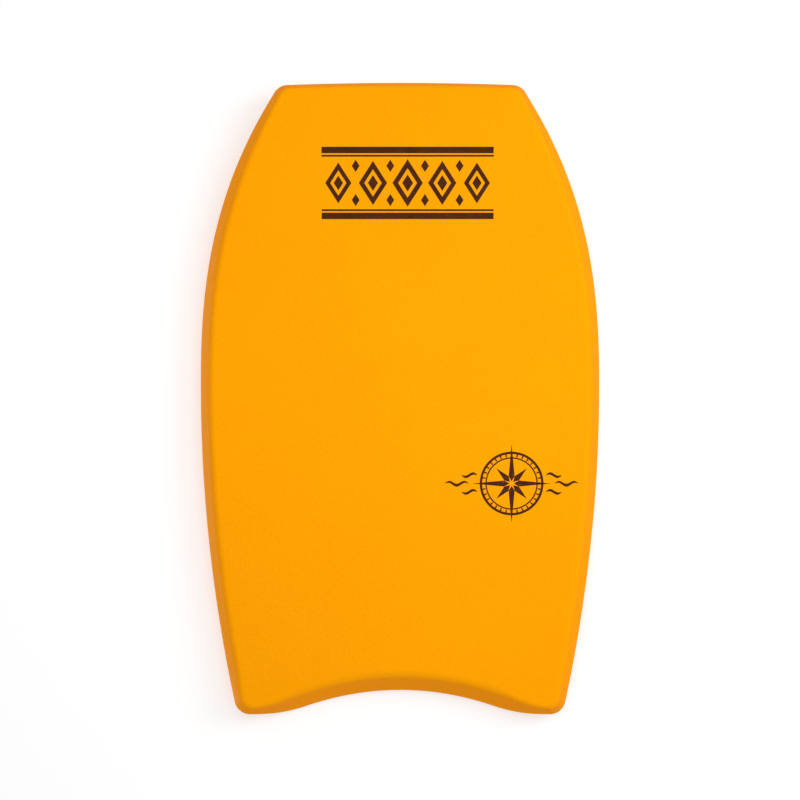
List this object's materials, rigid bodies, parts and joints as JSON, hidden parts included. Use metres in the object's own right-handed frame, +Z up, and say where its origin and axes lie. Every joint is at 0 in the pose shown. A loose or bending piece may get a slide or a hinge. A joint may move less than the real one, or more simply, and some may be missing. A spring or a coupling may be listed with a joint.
{
  "type": "bodyboard",
  "caption": "Foam bodyboard with a kicked-up square nose, chined rails and a crescent tail, laminated from a bead core, foam skins and a hard slick.",
  "frame": {"origin": "on the floor under the middle of the board's box, with the board lying flat on its slick", "axes": "+Z up out of the deck, +Y towards the nose, +X towards the right rail"},
  "size_m": [0.5298, 0.838, 0.0641],
  "materials": {
    "bead_foam": "matte",
    "deck_foam": "satin",
    "rail_foam": "satin",
    "backing_foam": "matte",
    "slick_plastic": "gloss"
  },
  "bodies": {
    "root": {"bead_core": "bead_foam", "deck_skin": "deck_foam", "rail_strip_left": "rail_foam", "rail_strip_right": "rail_foam", "bottom_backing": "backing_foam", "slick_sheet": "slick_plastic"}
  },
  "joints": []
}
